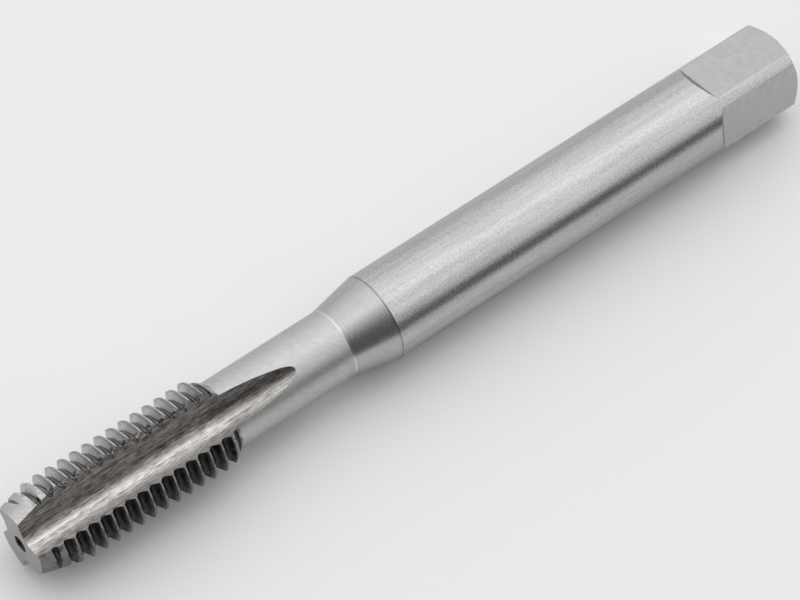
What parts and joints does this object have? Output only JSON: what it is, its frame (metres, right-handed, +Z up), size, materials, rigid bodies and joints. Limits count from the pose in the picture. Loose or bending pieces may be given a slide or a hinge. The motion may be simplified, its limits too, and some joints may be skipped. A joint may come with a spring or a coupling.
{
  "type": "thread tap",
  "caption": "One-piece straight-fluted thread tap with a relieved lead chamfer, reduced neck, round shank and square drive end.",
  "frame": {"origin": "on the surface the tap lies on, under its axis, half way along its length", "axes": "+X along the axis from the cutting end towards the driving square, +Z up from the surface it lies on"},
  "size_m": [0.1, 0.0101, 0.0101],
  "materials": {
    "ground_steel": "ground high-speed steel, bright and uncoated"
  },
  "bodies": {
    "root": {"thread_tap": "ground_steel"}
  },
  "joints": []
}
